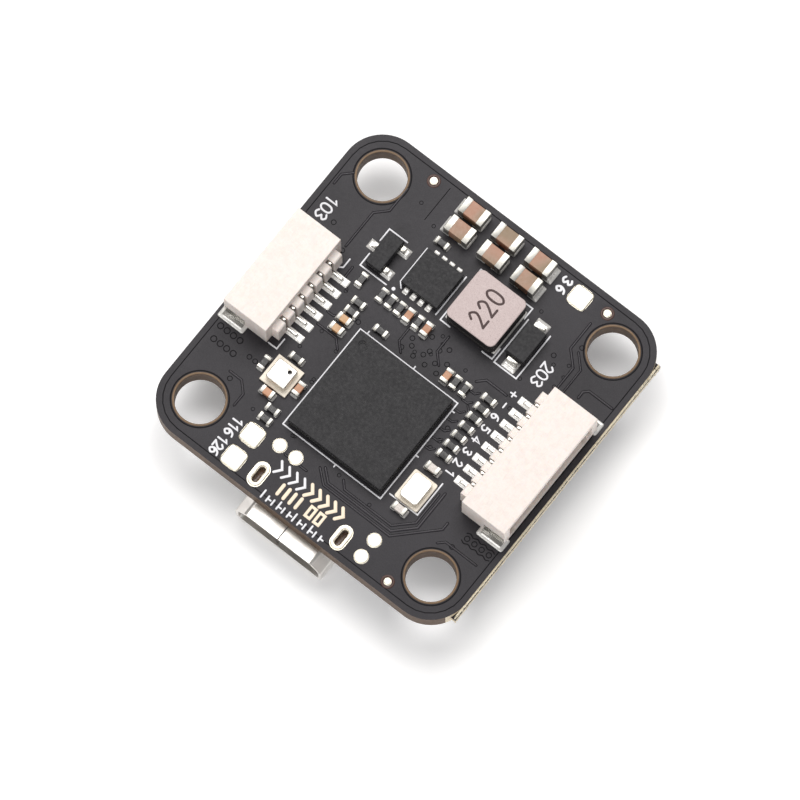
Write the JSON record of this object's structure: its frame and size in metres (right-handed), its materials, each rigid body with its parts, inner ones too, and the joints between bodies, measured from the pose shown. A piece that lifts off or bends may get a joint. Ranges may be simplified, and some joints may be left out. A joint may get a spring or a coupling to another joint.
{
  "type": "flight controller board",
  "caption": "Small square flight controller circuit board with corner mounting holes, side-entry wire connectors, a USB socket and a press button, for a multirotor.",
  "frame": {"origin": "centre of the square of four mounting holes, halfway through the board's thickness", "axes": "+Z out of the component face, along the mounting holes; -Y towards the USB socket's mouth; +X towards the speed-controller connector"},
  "size_m": [0.0261, 0.0271, 0.0074],
  "materials": {
    "solder_mask_laminate": "semi-matte black solder mask on glass-epoxy laminate, tan at the cut edges",
    "gold_plate": "gold-plated copper pads",
    "tin_solder": "reflowed solder",
    "tinned_metal": "tin-plated strip",
    "package_substrate": "dark laminate",
    "black_mould": "fine-grained moulding compound",
    "ferrite": "pale sintered top, dark sides",
    "enamelled_copper": "enamelled wire coil",
    "magnetic_resin": "dark filled resin",
    "silicon": "bare die",
    "nickel_can": "drawn nickel lid",
    "package_ceramic": "fired ceramic",
    "brown_ceramic": "fired dielectric",
    "tan_ceramic": "fired dielectric",
    "light_ceramic": "fired dielectric",
    "black_ceramic": "glazed film on ceramic",
    "chip_terminal": "tin-plated end caps",
    "shell_steel": "nickel-plated stamped sheet",
    "black_resin": "moulded heat-proof resin",
    "gold_contact": "gold-flashed contacts",
    "button_cap": "moulded plunger",
    "white_resin": "white laminate",
    "clear_lens": "cloudy clear resin",
    "connector_nylon": "natural off-white nylon"
  },
  "bodies": {
    "board": {"barometer_base": "package_ceramic", "barometer_can": "nickel_can", "barometer_die": "silicon", "boot_button_base": "black_resin", "boot_button_cover": "shell_steel", "boot_button_dome": "shell_steel", "boot_button_terminals": "tinned_metal", "buck_converter_body": "black_mould", "buck_converter_pads": "tinned_metal", "camera_connector_housing": "connector_nylon", "camera_connector_metal": "tinned_metal", "capacitor_bodies": "tan_ceramic", "capacitor_terminals": "chip_terminal", "circuit_board": "solder_mask_laminate", "crystal_base": "package_ceramic", "crystal_lid": "nickel_can", "diode_body": "black_mould", "diode_leads": "tinned_metal", "esc_connector_housing": "connector_nylon", "esc_connector_metal": "tinned_metal", "filter_capacitor_bodies": "brown_ceramic", "filter_capacitor_terminals": "chip_terminal", "gps_connector_housing": "connector_nylon", "gps_connector_metal": "tinned_metal", "inductor_coating": "magnetic_resin", "inductor_core": "ferrite", "inductor_terminals": "tinned_metal", "inductor_winding": "enamelled_copper", "light_capacitor_bodies": "light_ceramic", "memory_body": "black_mould", "memory_pads": "tinned_metal", "microcontroller_balls": "tin_solder", "microcontroller_mould": "black_mould", "microcontroller_substrate": "package_substrate", "motion_sensor_body": "black_mould", "motion_sensor_pads": "gold_plate", "overlay_chip_body": "black_mould", "overlay_chip_leads": "tinned_metal", "overlay_crystal_base": "package_ceramic", "overlay_crystal_lid": "nickel_can", "regulator_body": "black_mould", "regulator_leads": "tinned_metal", "resistor_bodies": "black_ceramic", "resistor_terminals": "chip_terminal", "round_test_pads": "gold_plate", "square_solder_pads": "gold_plate", "status_light_bases": "white_resin", "status_light_lenses": "clear_lens", "transistor_body": "black_mould", "transistor_leads": "tinned_metal", "underside_capacitor_bodies": "tan_ceramic", "underside_capacitor_terminals": "chip_terminal", "underside_chip_bodies": "black_ceramic", "underside_chip_terminals": "chip_terminal", "underside_solder_pads": "gold_plate", "usb_contacts": "gold_contact", "usb_insulator": "black_resin", "usb_shell": "shell_steel", "usb_slot_plating": "gold_plate"},
    "boot_button": {"boot_button_plunger": "button_cap"}
  },
  "joints": [
    {"name": "boot_button_press", "type": "slide", "parent": "board", "child": "boot_button", "axis": [0, 0, 1], "range_m": [0, 0.0002], "stiffness_N_per_m": 4000, "springref_m": -0.00005, "deforming": ["boot_button_dome"]}
  ]
}
